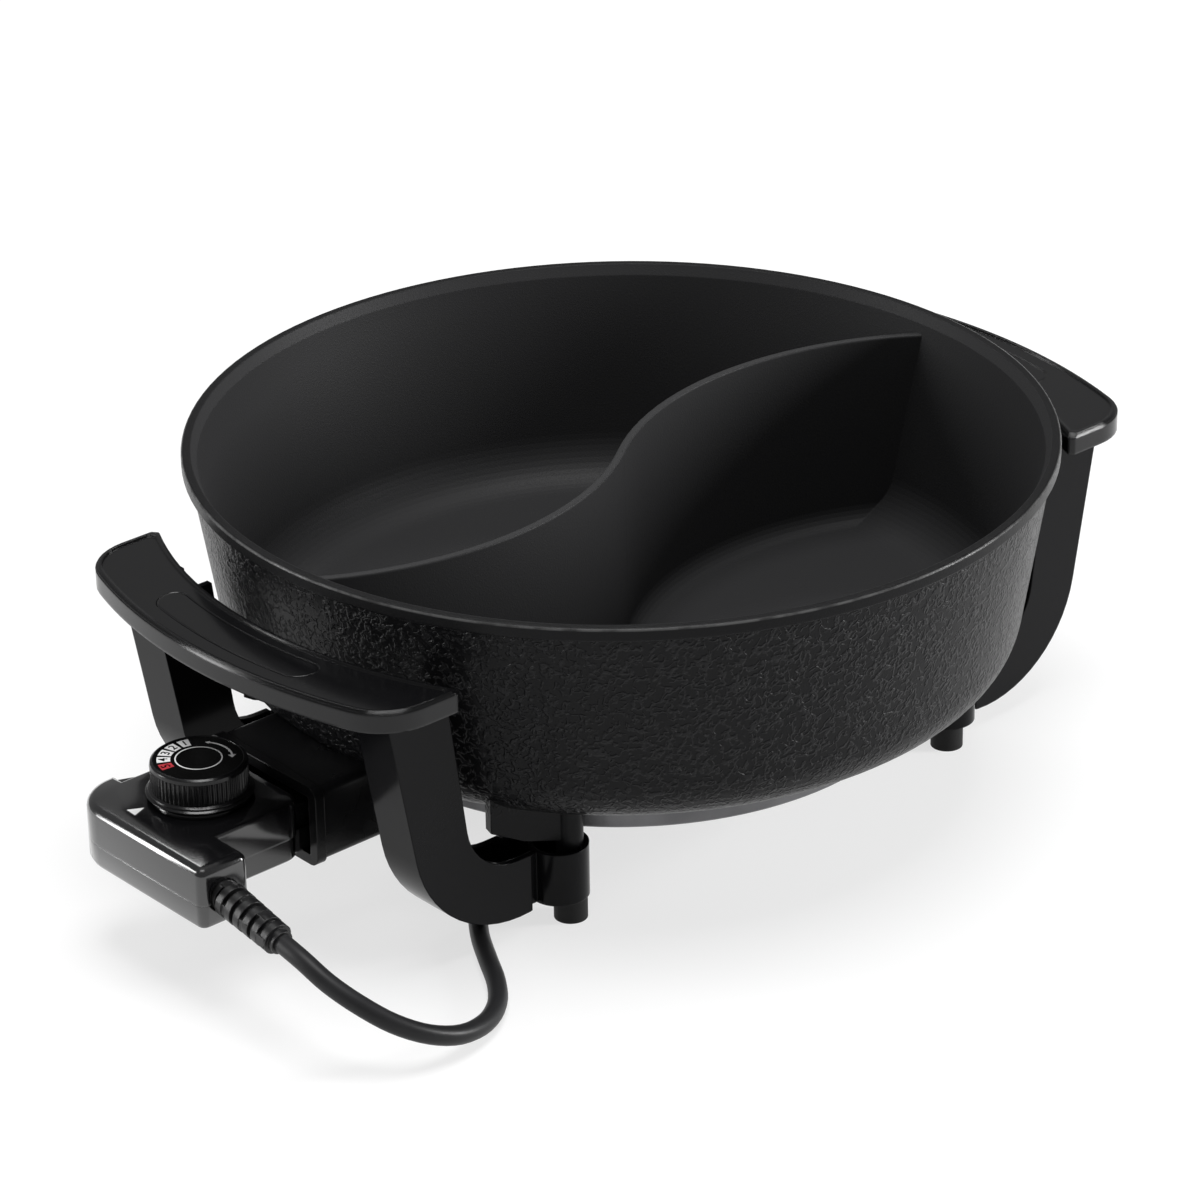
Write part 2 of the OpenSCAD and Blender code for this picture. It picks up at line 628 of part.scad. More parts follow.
module control_top_shell() color(GLOSS) {
    ceiling = control_top - case_t;
    difference() {
        union() {
            difference() {
                union() {
                    loft([split_z, control_top - 3.2, control_top - 1.9, control_top - 0.8, control_top],
                         [for (inset = [0, 0, 0.3, 1.2, 3.2]) bar_plan(inset)]);
                    loft([split_z, neck_top - 2.4, neck_top - 0.7, neck_top],
                         [for (inset = [0, 0, 0.7, 2.4]) neck_plan(neck_top_half, inset)]);
                    loft([split_z, control_top - 1.8, control_top - 0.6, control_top],
                         [for (inset = [0, 0, 0.5, 1.8]) deck_plan(deck_half, inset)]);
                    translate([-dial_x, 0, control_top - 1])
                        cylinder(d = dial_d, h = 1.6, $fn = ROUND);
                    translate([0, 0, split_z]) linear_extrude(control_top - split_z - 1.5)
                        polygon([[-bar_in_x - 1, bar_y1 - 2.5], [-bar_in_x + 10, deck_half - 1],
                                 [-bar_in_x - 1, deck_half - 5]]);
                }
                translate([0, 0, split_z - 1]) {
                    linear_extrude(ceiling - split_z + 1) polygon(bar_plan(case_t));
                    linear_extrude(neck_top - case_t - split_z + 1)
                        polygon(neck_plan(neck_top_half, case_t));
                    linear_extrude(ceiling - split_z + 1) polygon(deck_plan(deck_half, case_t));
                }
            }
            for (p = screw_spots) translate([p[0], p[1], split_z])
                cylinder(r = 3, h = ceiling - split_z + 0.4, $fn = ROUND);
        }
        for (p = screw_spots) translate([p[0], p[1], split_z - 1])
            cylinder(r = screw_r - 0.2, h = 7.5, $fn = ROUND);
        translate([-dial_x, 0, split_z + 1]) cylinder(d = spindle_d + 2 * fit, h = 30, $fn = ROUND);
        relief_bore(6);
        neck_holes();
        translate([0, 0, control_top - 0.5]) linear_extrude(2) polygon(pointer_plan(0));
    }
}

// Screw bosses, two in the bar and two beside the dial.
screw_spots = [[-bar_out_x + 6, bar_y0 + 21], [-bar_in_x - 6, bar_y1 - 9],
               [-bar_in_x + 18, 4 - neck_half], [-bar_in_x + 18, neck_half - 4]];

module control_bottom_shell() color(GLOSS) {
    floor_z = control_z + case_t;
    difference() {
        union() {
            difference() {
                union() {
                    loft([control_z, control_z + 0.8, control_z + 2.4, split_z],
                         [for (inset = [2.4, 0.7, 0, 0]) bar_plan(inset)]);
                    loft([control_z, control_z + 1, split_z],
                         [for (inset = [1, 0, 0]) neck_plan(neck_half, inset)]);
                    loft([control_z, control_z + 1, split_z],
                         [for (inset = [1, 0, 0]) deck_plan(deck_half - 1, inset)]);
                }
                translate([0, 0, floor_z]) {
                    linear_extrude(20) polygon(bar_plan(case_t));
                    linear_extrude(20) polygon(neck_plan(neck_half, case_t));
                    linear_extrude(20) polygon(deck_plan(deck_half - 1, case_t));
                }
            }
            for (p = screw_spots) translate([p[0], p[1], control_z + 1])
                cylinder(r = 3.6, h = split_z - control_z - 1, $fn = ROUND);
        }
        relief_bore(6);
        neck_holes();
        for (p = screw_spots) translate([p[0], p[1], control_z - 1]) {
            cylinder(r = screw_r + 0.2, h = 20, $fn = ROUND);
            cylinder(r = 2.9, h = 3.4, $fn = ROUND);
        }
    }
}

module control_screws() color(STEEL)
    for (p = screw_spots) translate([p[0], p[1], control_z + 0.6])
        difference() {
            union() {
                cylinder(r1 = 2.1, r2 = 2.7, h = 1.8, $fn = ROUND);
                translate([0, 0, 1.8 - sink]) cylinder(r = screw_r - 0.2, h = 12, $fn = ROUND);
            }
            for (a = [0, 90]) rotate([0, 0, a]) translate([-0.35, -1.3, -1]) cube([0.7, 2.6, 2]);
        }

bracket_x = neck_end_x + 20;                // face of the bracket that holds the probe

module sensing_probe() color(STEEL)
    translate([-bracket_x - 1.2, 0, pin_z]) rotate([0, 90, 0]) {
        cylinder(d = probe_d, h = bracket_x + 1.2 - probe_tip_x - probe_d / 2, $fn = ROUND);
        translate([0, 0, bracket_x + 1.2 - probe_tip_x - probe_d / 2])
            sphere(d = probe_d, $fn = ROUND);
        translate([0, 0, -1.2]) cylinder(d = probe_d + 1.2, h = 1.2, $fn = ROUND);
    }

module probe_bracket() color(STEEL)
    difference() {
        union() {
            translate([-bracket_x - 1.2, -9, control_z + case_t]) cube([1.2, 18, 12]);
            translate([-bracket_x - 12, -9, control_z + case_t]) cube([12, 18, 1]);
        }
        translate([-bracket_x - 5, 0, pin_z]) rotate([0, 90, 0])
            cylinder(r = probe_d / 2 + 0.05, h = 12, $fn = ROUND);
        translate([-bracket_x - 13, -5, control_z + case_t - 1]) cube([11.8, 10, 4]);
    }

receptacle_r = pin_d / 2 + 1.3;

module terminal_receptacles() color(BRASS)
    for (s = [-1, 1]) translate([-neck_end_x - 0.4, s * pin_y, pin_z]) rotate([0, -90, 0])
        difference() {
            cylinder(r = receptacle_r, h = 24, $fn = ROUND);
            translate([0, 0, -1]) cylinder(r = pin_d / 2 + fit, h = 21, $fn = ROUND);
            translate([0, 0, -1]) cylinder(r1 = pin_d / 2 + 1.2, r2 = pin_d / 2, h = 2, $fn = ROUND);
        }

module receptacle_carrier() color("#d8d3c4")
    difference() {
        translate([-neck_end_x - 16, -19, control_z + case_t]) cube([12, 38, 12.6]);
        for (y = [-pin_y, 0, pin_y]) translate([-neck_end_x - 20, y, pin_z]) rotate([0, 90, 0])
            cylinder(r = (y == 0 ? probe_d / 2 : receptacle_r) + 0.05, h = 20, $fn = ROUND);
    }

contact_x = dial_x + 12;

module contact_block() color("#d8d3c4")
    difference() {
        translate([-contact_x - 4, -7, control_z + case_t]) cube([8, 14, 10]);
        translate([-contact_x, 0, control_z + case_t - 1]) cylinder(r = 1.5, h = 20, $fn = ROUND);
    }

// Contact leaf on its block, from the rivet to the finger under the cam.
module bimetal_blade() color(BRASS) {
    z = control_z + case_t + 10;
    translate([-contact_x - 3.5, -3.5, z]) cube([contact_x - dial_x + 6, 7, 0.6]);
    translate([-contact_x, 0, control_z + case_t])
        cylinder(r = 1.5, h = 10 + sink, $fn = ROUND);
    translate([-contact_x, 0, z + 0.6 - sink]) cylinder(r = 2.4, h = 1, $fn = ROUND);
}

// Triangle that points at the dial from the bar's top.
function pointer_plan(inset) = let (x = -dial_x - dial_d / 2 - 7)
    [[x - 1.7 + inset, 3.3 + inset], [x + 3.8 - 2 * inset, 5.4], [x - 1.5 + inset, 8.3 - inset]];

module pointer_mark() color("white")
    translate([0, 0, control_top - 0.5]) linear_extrude(0.55) polygon(pointer_plan(0));

// Ribbed sleeve along the lead's way out, +Z away from the housing.
module strain_relief() color(BLACK)
    translate(relief_root) rotate([0, 0, relief_swing]) rotate([90 + relief_dip, 0, 0]) {
        ribs = 6;
        step = (relief_len - 3) / ribs;
        translate([0, 0, -7]) cylinder(r = 7, h = 2.2, $fn = ROUND);
        translate([0, 0, -7]) cylinder(r = 4.4, h = relief_len + 7, $fn = ROUND);
        translate([0, 0, -5]) cylinder(r = 5.7, h = 6.2, $fn = ROUND);
        for (i = [0 : ribs - 1]) translate([0, 0, 2.4 + i * step]) {
            cylinder(r = 6.3 - 0.12 * i, h = step * 0.62, $fn = ROUND);
            rotate([0, 0, 90 * i]) translate([-2, -5.7, -step / 2]) cube([4, 11.4, step]);
        }
    }

// ---- Dial ----

module dial_knob() color(BLACK)
    translate([-dial_x, 0, dial_z + 2.2]) difference() {
        union() {
            linear_extrude(dial_h - 4.2) polygon([for (i = [0 : 4 * dial_ribs - 1])
                let (a = 360 * i / (4 * dial_ribs), r = dial_d / 2 - (i % 4 < 2 ? 0.55 : 0))
                r * [cos(a), sin(a)]]);
            translate([0, 0, dial_h - 4.2])
                cylinder(d1 = dial_d + 0.2, d2 = dial_d - 0.4, h = 1.4, $fn = ROUND);
            translate([0, 0, dial_h - 2.8])
                cylinder(d1 = dial_d - 0.4, d2 = dial_d - 2, h = 0.6, $fn = ROUND);
        }
        translate([0, 0, dial_h - 2.8]) cylinder(d = dial_d - 3.4, h = 2, $fn = ROUND);
        translate([0, 0, -1]) cylinder(d = spindle_d, h = dial_h - 4, $fn = ROUND);
    }

module dial_face() color("#101012")
    translate([-dial_x, 0, dial_top - 0.6]) cylinder(d = dial_d - 3.4, h = 0.4, $fn = ROUND);

// Two flared rings under the grip.
module dial_skirt() color(GLOSS)
    translate([-dial_x, 0, dial_z]) difference() {
        rotate_extrude($fn = ROUND) polygon([
            [0, 0], [dial_d / 2 + 1.6, 0], [dial_d / 2 + 1.9, 0.5], [dial_d / 2 + 0.7, 1.2],
            [dial_d / 2 + 1.1, 1.6], [dial_d / 2, 2.2], [0, 2.2]]);
        translate([0, 0, -1]) cylinder(d = spindle_d, h = 9, $fn = ROUND);
    }

module dial_spindle() color(STEEL) {
    cam_z = control_z + case_t + 12.2;
    translate([-dial_x, 0, cam_z]) {
        difference() {
            cylinder(d = spindle_d, h = dial_z + dial_h - 4 - cam_z, $fn = ROUND);
            translate([0, 0, -1]) cylinder(r = 1, h = 3, $fn = ROUND);
        }
        translate([0.8, 0, 0.8]) cylinder(d = spindle_d + 5, h = 1.6, $fn = ROUND);
    }
}

// ---- Mains lead ----

// A closed tube of n sides swept along points, its rings square to the path.
module tube(path, r, n) {
    last = len(path) - 1;
    function way(i) = let (v = path[min(i + 1, last)] - path[max(i - 1, 0)]) v / norm(v);
    function end_way(i) = i == 0 ? way(0) : i == last ? way(last) : way(i);
    rings = [for (i = [0 : last])
        let (t = end_way(i), s = cross(t, [0, 0, 1]), side = s / norm(s), up = cross(side, t))
        for (j = [0 : n - 1]) let (a = 90 + 360 * j / n)
            path[i] + r * (cos(a) * side + sin(a) * up)];
    walls = [for (i = [0 : last - 1], j = [0 : n - 1])
        let (a = i * n + j, b = i * n + (j + 1) % n, c = a + n, d = b + n)
        each [[a, c, b], [b, c, d]]];
    caps = [for (j = [1 : n - 2]) each [[0, j, j + 1], [last * n, last * n + j + 1, last * n + j]]];
    polyhedron(points = rings, faces = concat(walls, caps), convexity = 6);
}

module cord() color(BLACK) tube(lead_route, lead_r, 10);

module cord_coil() color(BLACK) tube(coil_path, lead_r, 6);

// Strap round the coil's turns, away from where the lead joins and leaves them.
module coil_tie() color("#2a2a2c") {
    a = coil_start + 250;
    r0 = coil_in_r - lead_r - 1.5;
    r1 = coil_out_r + lead_r + 0.6;
    z1 = coil_end[2] + lead_r + 0.7;
    translate([coil_c[0], coil_c[1], 0]) rotate([0, 0, a]) difference() {
        translate([r0 - 0.8, -3, 0]) cube([r1 - r0 + 1.6, 6, z1 + 0.8]);
        translate([r0, -4, 0.8]) cube([r1 - r0, 8, z1 - 0.8]);
    }
}

// Places its children at the plug: +X along the lead's last heading.
module at_plug() {
    translate([plug_at[0], plug_at[1], plug_at[2]]) rotate([0, 0, plug_heading]) children();
}

module plug_body() color(BLACK) at_plug() {
    hull() {
        translate([plug_neck_l, 0, 0]) rotate([0, 90, 0]) cylinder(r = 7.5, h = 1, $fn = 32);
        for (x = [plug_neck_l + 8, plug_neck_l + plug_l - 4], y = [-1, 1])
            translate([x, y * (plug_w / 2 - 4), -plug_t / 2 + 1])
                cylinder(r = 4, h = plug_t - 2, $fn = 32);
        translate([plug_neck_l + 10, -plug_w / 2 + 3, -plug_t / 2])
            cube([plug_l - 10, plug_w - 6, plug_t]);
    }
    rotate([0, 90, 0]) cylinder(r1 = 4.6, r2 = 6.4, h = plug_neck_l, $fn = ROUND);
    for (i = [0 : 3]) translate([2 + i * 5, 0, 0]) rotate([0, 90, 0])
        cylinder(r = 5.6 + 0.4 * i, h = 2.6, $fn = ROUND);
}

// Two flat blades and the round earth pin, on the plug's front face.
module plug_pins() color(BRASS) at_plug() translate([plug_neck_l + plug_l, 0, 0]) {
    for (s = [-1, 1]) translate([0, s * 6.35 - 0.75, -0.4]) cube([16, 1.5, 6.3]);
    translate([0, 0, -7]) rotate([0, 90, 0]) {
        cylinder(d = 4.8, h = 17, $fn = ROUND);
        translate([0, 0, 17]) cylinder(d1 = 4.8, d2 = 3, h = 2, $fn = ROUND);
    }
}

pan();
heater_casting();
heating_element();
terminal_pins();
pin_insulators();
probe_guide();
front_handle();
rear_handle();
feet();
foot_screws();
terminal_guard();
guard_screws();
control_top_shell();
control_bottom_shell();
control_screws();
sensing_probe();
probe_bracket();
terminal_receptacles();
receptacle_carrier();
contact_block();
bimetal_blade();
pointer_mark();
strain_relief();
dial_knob();
dial_face();
dial_skirt();
dial_spindle();
cord();
cord_coil();
coil_tie();
plug_body();
plug_pins();
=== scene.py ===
"""Looks of a split electric hot pot: cast pan, hollow-legged handles, plug-in
thermostat with its dial, and mains lead. Everything is in metres in the frame of
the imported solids: origin on the pan's axis at table level, +Z up, thermostat at -X."""

import math

import bmesh
import bpy
from mathutils import Matrix, Vector


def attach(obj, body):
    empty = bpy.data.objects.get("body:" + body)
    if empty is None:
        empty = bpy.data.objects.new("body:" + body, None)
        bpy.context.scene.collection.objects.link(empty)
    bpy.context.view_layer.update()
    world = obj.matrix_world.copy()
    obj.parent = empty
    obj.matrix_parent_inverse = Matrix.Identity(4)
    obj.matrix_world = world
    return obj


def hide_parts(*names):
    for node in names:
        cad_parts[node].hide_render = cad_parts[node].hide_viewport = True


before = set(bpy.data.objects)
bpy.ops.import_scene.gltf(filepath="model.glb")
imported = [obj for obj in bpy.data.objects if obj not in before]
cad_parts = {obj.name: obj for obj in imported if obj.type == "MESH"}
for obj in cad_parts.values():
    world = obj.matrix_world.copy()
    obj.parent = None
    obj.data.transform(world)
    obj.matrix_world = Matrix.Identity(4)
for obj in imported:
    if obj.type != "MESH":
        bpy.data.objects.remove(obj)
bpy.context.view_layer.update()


# ---- Camera ----
# The photograph's own view: a long lens from the front left, a little above the
# rim. The focal length is in pixels of the 1200 pixel wide picture.
IMAGE_WIDTH = 1200
FOCAL_PIXELS = 4993
SENSOR = 36
DISTANCE = 1.878
AZIMUTH, ELEVATION, ROLL = (math.radians(v) for v in (-41.05, 26.63, -0.94))
OFF_CENTRE = (0.0095, -0.058)

back = Vector((math.sin(AZIMUTH) * math.cos(ELEVATION),
               -math.cos(AZIMUTH) * math.cos(ELEVATION), math.sin(ELEVATION)))
level = Vector((math.cos(AZIMUTH), math.sin(AZIMUTH), 0))
above = back.cross(level)
right = level * math.cos(ROLL) + above * math.sin(ROLL)
upward = above * math.cos(ROLL) - level * math.sin(ROLL)
camera_data = bpy.data.cameras.new("camera")
camera_data.sensor_width = SENSOR
camera_data.lens = FOCAL_PIXELS / IMAGE_WIDTH * SENSOR
camera_data.clip_start, camera_data.clip_end = 0.05, 50
camera = bpy.data.objects.new("camera", camera_data)
bpy.context.scene.collection.objects.link(camera)
camera.matrix_world = Matrix.Translation(
    back * DISTANCE - right * OFF_CENTRE[0] - upward * OFF_CENTRE[1]
) @ Matrix((right, upward, back)).transposed().to_4x4()
bpy.context.scene.camera = camera


# ---- Mains lead ----
# Round black rubber-sheathed lead, 7 mm thick and 1.5 m long. It leaves the strain
# relief, drops to the table, runs under the pan, and lies behind it in a coil of
# two layers with its plug alongside.
LEAD_DIAMETER = 0.007
LEAD_ROUTE = [
    (-0.221, -0.075, 0.039), (-0.221, -0.086, 0.037), (-0.219, -0.097, 0.032),
    (-0.214, -0.107, 0.026), (-0.206, -0.115, 0.019), (-0.195, -0.120, 0.0125),
    (-0.182, -0.121, 0.0075), (-0.168, -0.117, 0.0045), (-0.156, -0.109, 0.0035),
    (-0.147, -0.098, 0.0035), (-0.139, -0.084, 0.0035), (-0.130, -0.069, 0.0035),
    (-0.118, -0.054, 0.0035), (-0.103, -0.040, 0.0035), (-0.086, -0.028, 0.0035),
    (-0.068, -0.016, 0.0035), (-0.050, -0.004, 0.0035), (-0.032, 0.009, 0.0035),
    (-0.015, 0.023, 0.0035), (0.001, 0.038, 0.0035), (0.018, 0.052, 0.0035),
    (0.036, 0.065, 0.0035), (0.054, 0.078, 0.0035), (0.072, 0.091, 0.0035),
    (0.090, 0.104, 0.0035), (0.108, 0.117, 0.0035), (0.125, 0.130, 0.004),
    (0.141, 0.142, 0.0045)]
COIL_TURNS = 4.4
COIL_RADIUS = 0.036
COIL_PITCH = 0.0077
COIL_STEPS = 40
PLUG_TAIL = 0.028


class Wire:
    """One socket of a finish's nodes, so that sums on a surface read as sums."""

    def __init__(self, finish, socket):
        self.finish, self.socket = finish, socket

    def math(self, operation, *others):
        values = dict(enumerate((self, *others)))
        return self.finish.add("Math", {"operation": operation}, values)

    def __add__(self, other):
        return self.math("ADD", other)

    def __mul__(self, other):
        return self.math("MULTIPLY", other)

    def __sub__(self, other):
        return self.math("SUBTRACT", other)

    def __rsub__(self, other):
        return self.finish.add("Math", {"operation": "SUBTRACT"}, {0: other, 1: self})

    def __pow__(self, other):
        return self.math("POWER", other)

    __radd__, __rmul__ = __add__, __mul__

    def step(self, low, high, start=0.0, end=1.0):
        """Smooth step: start where the value is low or less, end from high on."""
        return self.finish.add("MapRange", {"interpolation_type": "SMOOTHSTEP"},
                               {0: self, 1: low, 2: high, 3: start, 4: end})


class Finish:
    """A surface's material, with one method that adds every other node to it."""

    def __init__(self, name, color, roughness, metallic=0.0, specular=0.5):
        self.material = bpy.data.materials.new(name)
        self.material.use_nodes = True
        self.material.diffuse_color = (*color, 1)
        self.nodes = self.material.node_tree.nodes
        self.links = self.material.node_tree.links
        self.shader = self.nodes["Principled BSDF"]
        self.put("Base Color", (*color, 1))
        self.put("Roughness", roughness)
        self.put("Metallic", metallic)
        self.put("Specular IOR Level", specular)

    def add(self, kind, settings=None, values=None, output=0):
        node = self.nodes.new("ShaderNode" + kind)
        for name, value in (settings or {}).items():
            setattr(node, name, value)
        for name, value in (values or {}).items():
            self.feed(node.inputs[name], value)
        return Wire(self, node.outputs[output])

    def feed(self, socket, value):
        if isinstance(value, Wire):
            self.links.new(value.socket, socket)
        else:
            socket.default_value = value

    def put(self, name, value):
        self.feed(self.shader.inputs[name], value)

    def place(self):
        """A point's place in the frame, in metres."""
        return self.add("TexCoord", output="Object")

    def axes(self):
        """The three parts of that place: x, y and z."""
        place = self.place()
        return [self.add("SeparateXYZ", {}, {0: place}, k) for k in range(3)]

    def noise(self, scale, detail=2.0, roughness=0.5, stretch=None, **settings):
        vector = self.place()
        if stretch:
            vector = self.add("Mapping", {}, {"Vector": vector, "Scale": stretch})
        return self.add("TexNoise", settings, {"Vector": vector, "Scale": scale,
                                               "Detail": detail, "Roughness": roughness})

    def blend(self, factor, low, high):
        """Colour between low and high by a factor from 0 to 1."""
        ends = [end if isinstance(end, Wire) else (*end, 1) for end in (low, high)]
        return self.add("Mix", {"data_type": "RGBA"}, {0: factor, 6: ends[0], 7: ends[1]}, 2)

    def relief(self, height, depth, edge=0.0):
        """Bump whose full height is depth metres, over edges rounded by edge metres."""
        values = {"Strength": 1.0, "Distance": depth, "Height": height}
        if edge:
            values["Normal"] = self.add("Bevel", {"samples": 6}, {"Radius": edge})
        return self.add("Bump", {}, values)


def moulded(name, color, roughness, grain=900, depth=0.00002, specular=0.2, spread=0.05,
            edge=0.0, polish=0.0):
    """Moulded plastic or rubber: fine grain, and a gloss that wanders a little."""
    finish = Finish(name, color, roughness, specular=specular)
    finish.put("Coat Weight", polish)
    finish.put("Coat Roughness", 0.12)
    cloud = finish.noise(35, 3)
    finish.put("Roughness", cloud.step(0.3, 0.7, roughness - spread, roughness + spread))
    finish.put("Base Color", finish.blend(cloud.step(0.35, 0.75), [c * 0.85 for c in color],
                                          [c * 1.2 for c in color]))
    finish.put("Normal", finish.relief(finish.noise(grain, 2), depth, edge))
    return finish.material


route = [Vector(p) for p in LEAD_ROUTE]
heading = math.atan2(*(route[-1] - route[-2]).yx)
layer_turns = (COIL_TURNS - 0.5) / 2
outer_radius = COIL_RADIUS + COIL_PITCH * layer_turns / 2
inner_radius = outer_radius - COIL_PITCH * layer_turns
coil_lean = math.atan(COIL_PITCH / (2 * math.pi * outer_radius))
coil_start = heading - math.pi / 2 - coil_lean
coil_middle = (route[-1] + LEAD_DIAMETER * Vector((math.cos(heading), math.sin(heading), 0))
               - outer_radius * Vector((math.cos(coil_start), math.sin(coil_start), 0)))


def coil_point(turns):
    """Point of the coil after so many turns: in along the lower layer, up, and out."""
    climb = min(1, max(0, 2 * (turns - layer_turns)))
    if turns < layer_turns:
        radius = outer_radius - COIL_PITCH * turns
    elif turns < layer_turns + 0.5:
        radius = inner_radius - COIL_PITCH * (turns - layer_turns) * (1 - climb)
    else:
        radius = inner_radius + COIL_PITCH * (turns - layer_turns - 0.5)
    angle = coil_start + 2 * math.pi * turns
    return coil_middle + Vector((radius * math.cos(angle), radius * math.sin(angle),
                                 COIL_PITCH * climb))


def smoothed(points, steps=4):
    """The path through points with more of them on a smooth curve between."""
    path = []
    for i in range(len(points) - 1):
        before, a, b, after = (points[max(0, min(k, len(points) - 1))]
                               for k in range(i - 1, i + 3))
        for k in range(steps):
            t = k / steps
            path.append(0.5 * (2 * a + (b - before) * t
                               + (2 * before - 5 * a + 4 * b - after) * t ** 2
                               + (3 * a - before - 3 * b + after) * t ** 3))
    return path + [points[-1]]


coil_rings = round(COIL_TURNS * COIL_STEPS)
plug_angle = coil_start + 2 * math.pi * COIL_TURNS + math.pi / 2 - coil_lean
lead_path = smoothed(route)
lead_path += [coil_point(COIL_TURNS * i / coil_rings) for i in range(coil_rings + 1)]
lead_path.append(lead_path[-1] + PLUG_TAIL * Vector((math.cos(plug_angle),
                                                     math.sin(plug_angle), 0)))

lead_curve = bpy.data.curves.new("mains_lead", "CURVE")
lead_curve.dimensions = "3D"
lead_curve.bevel_depth = LEAD_DIAMETER / 2
lead_curve.bevel_resolution = 6
lead_curve.use_fill_caps = True
spline = lead_curve.splines.new("POLY")
spline.points.add(len(lead_path) - 1)
for point, place in zip(spline.points, lead_path):
    point.co = (*place, 1)
spline.use_smooth = True
lead = bpy.data.objects.new("mains_lead", lead_curve)
bpy.context.scene.collection.objects.link(lead)
lead_curve.materials.append(moulded("lead_jacket", (0.016, 0.016, 0.017), 0.42, 1500, 0.00001))
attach(lead, "control")
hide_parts("cord", "cord_coil")


# ---- Pan ----
# Die-cast aluminium pan with its S-shaped divider and the lugs for the feet, in one
# casting. The outside has a wrinkled coating below a smooth rim band, with a painted
# sheen on its wrinkle crests, and the inside a matt non-stick one. The rim's edge is
# painted a little lighter, partly for wear and partly as a painted highlight line.
WALL_DRAFT = math.radians(9)
CORNER_AT = (0.1242, 0.070)       # middle of the bottom corner: radius, height
CORNER_MID = 0.0221               # its radius halfway through the wall
BAND_LOW = 0.1282                 # lower edge of the smooth band
WRINKLES_LOW = 0.050              # where the wrinkles fade out at the base
RIM_TOP = 0.134
RIM_RADIUS = 0.160
RIM_EDGE = 0.0007                 # radius of the rounded edges
WRINKLE_SCALES = (210, 305)       # of the two layers of wrinkles
WRINKLE_HEIGHT = 0.00036
INSIDE_COLOR = (0.030, 0.030, 0.031)
OUTSIDE_COLOR = (0.005, 0.005, 0.0055)
# Lighter colour on the wrinkle crests: a painted sheen.
WRINKLE_SHEEN_COLOR = (0.018, 0.018, 0.019)
# Lighter colour of the rim's edge: partly wear, partly a painted highlight line.
RIM_WEAR_AND_HIGHLIGHT_COLOR = (0.08, 0.08, 0.08)


def paint(material, *names):
    """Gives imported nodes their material."""
    for name in names:
        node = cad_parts[name]
        node.data.materials.clear()
        node.data.materials.append(material)


pan_coating = Finish("pan_coating", (0.006, 0.006, 0.0065), 0.4, specular=0.12)
east, north, height = pan_coating.axes()
radius = (east * east + north * north) ** 0.5
past = (radius - CORNER_AT[0]).math("MAXIMUM", 0)
below = (CORNER_AT[1] - height).math("MAXIMUM", 0)
over = (height - CORNER_AT[1]).math("MAXIMUM", 0)
from_corner = (past * past + below * below) ** 0.5 - over * math.tan(WALL_DRAFT)
outside = from_corner.step(CORNER_MID - 0.0003, CORNER_MID + 0.0003)
wrinkled = (outside * height.step(BAND_LOW, BAND_LOW + 0.0012, 1, 0)
            * height.step(WRINKLES_LOW - 0.003, WRINKLES_LOW + 0.003))
worms = [(pan_coating.noise(scale, 1.0, 0.4) - 0.5).math("ABSOLUTE").step(0.012, 0.075, 1, 0)
         for scale in WRINKLE_SCALES]
scraps = pan_coating.noise(380, 1.0).step(0.38, 0.56)
wrinkle = worms[0].math("MAXIMUM", worms[1]) * scraps * wrinkled
speckle = pan_coating.noise(1500, 2).step(0.42, 0.78)
pan_coating.put("Normal", pan_coating.relief(wrinkle + speckle * 0.08, WRINKLE_HEIGHT, RIM_EDGE))
# Mask of the rim's outer top edge, made glossier and painted lighter: partly wear, partly a
# painted highlight line.
rim_wear_and_highlight = (height.step(RIM_TOP - 0.0011, RIM_TOP - 0.0006)
          * radius.step(RIM_RADIUS - 0.0008, RIM_RADIUS - 0.0003)
          * pan_coating.noise(140, 3).step(0.3, 0.6, 0.35, 1))
pan_coating.put("Roughness", 0.48 - 0.17 * outside - 0.1 * rim_wear_and_highlight + 0.07 * speckle)
coat_color = pan_coating.blend(outside, INSIDE_COLOR, OUTSIDE_COLOR)
# Wrinkle crests painted halfway to a lighter colour: a painted sheen.
coat_color = pan_coating.blend(wrinkle * 0.5, coat_color, WRINKLE_SHEEN_COLOR)
pan_coating.put("Base Color", pan_coating.blend(rim_wear_and_highlight, coat_color, RIM_WEAR_AND_HIGHLIGHT_COLOR))
paint(pan_coating.material, "pan")


# ---- Heater ----
# Grey aluminium casting under the pan with the tubular element cast into it, its
# two plated terminal pins in ceramic bushes, and the bright guide tube of the probe.
heater_alloy = Finish("heater_alloy", (0.16, 0.16, 0.165), 0.5, metallic=0.85)
heater_alloy.put("Normal", heater_alloy.relief(heater_alloy.noise(700, 4), 0.00012))
heater_alloy.put("Roughness", heater_alloy.noise(60, 3).step(0.3, 0.7, 0.42, 0.62))
paint(heater_alloy.material, "heater_casting")


def metal(name, color, roughness, scale, low, high, detail=3, stretch=None):
    """Bare or plated metal, whose gloss wanders between two values of roughness."""
    finish = Finish(name, color, roughness, metallic=1)
    cloud = finish.noise(scale, detail, stretch=stretch)
    finish.put("Roughness", cloud.step(0.3, 0.7, low, high))
    return finish.material


paint(metal("element_sheath", (0.36, 0.35, 0.34), 0.38, 120, 0.3, 0.5), "heating_element")
paint(metal("plated_metal", (0.66, 0.65, 0.62), 0.22, 150, 0.16, 0.3),
      "terminal_pins", "probe_guide", "probe_bracket")

ceramic = Finish("ceramic", (0.8, 0.77, 0.68), 0.35)
ceramic.put("Normal", ceramic.relief(ceramic.noise(900, 3), 0.00004))
ceramic.put("Base Color", ceramic.blend(ceramic.noise(80, 3).step(0.3, 0.8),
                                        (0.82, 0.79, 0.70), (0.70, 0.66, 0.56)))
paint(ceramic.material, "pin_insulators")


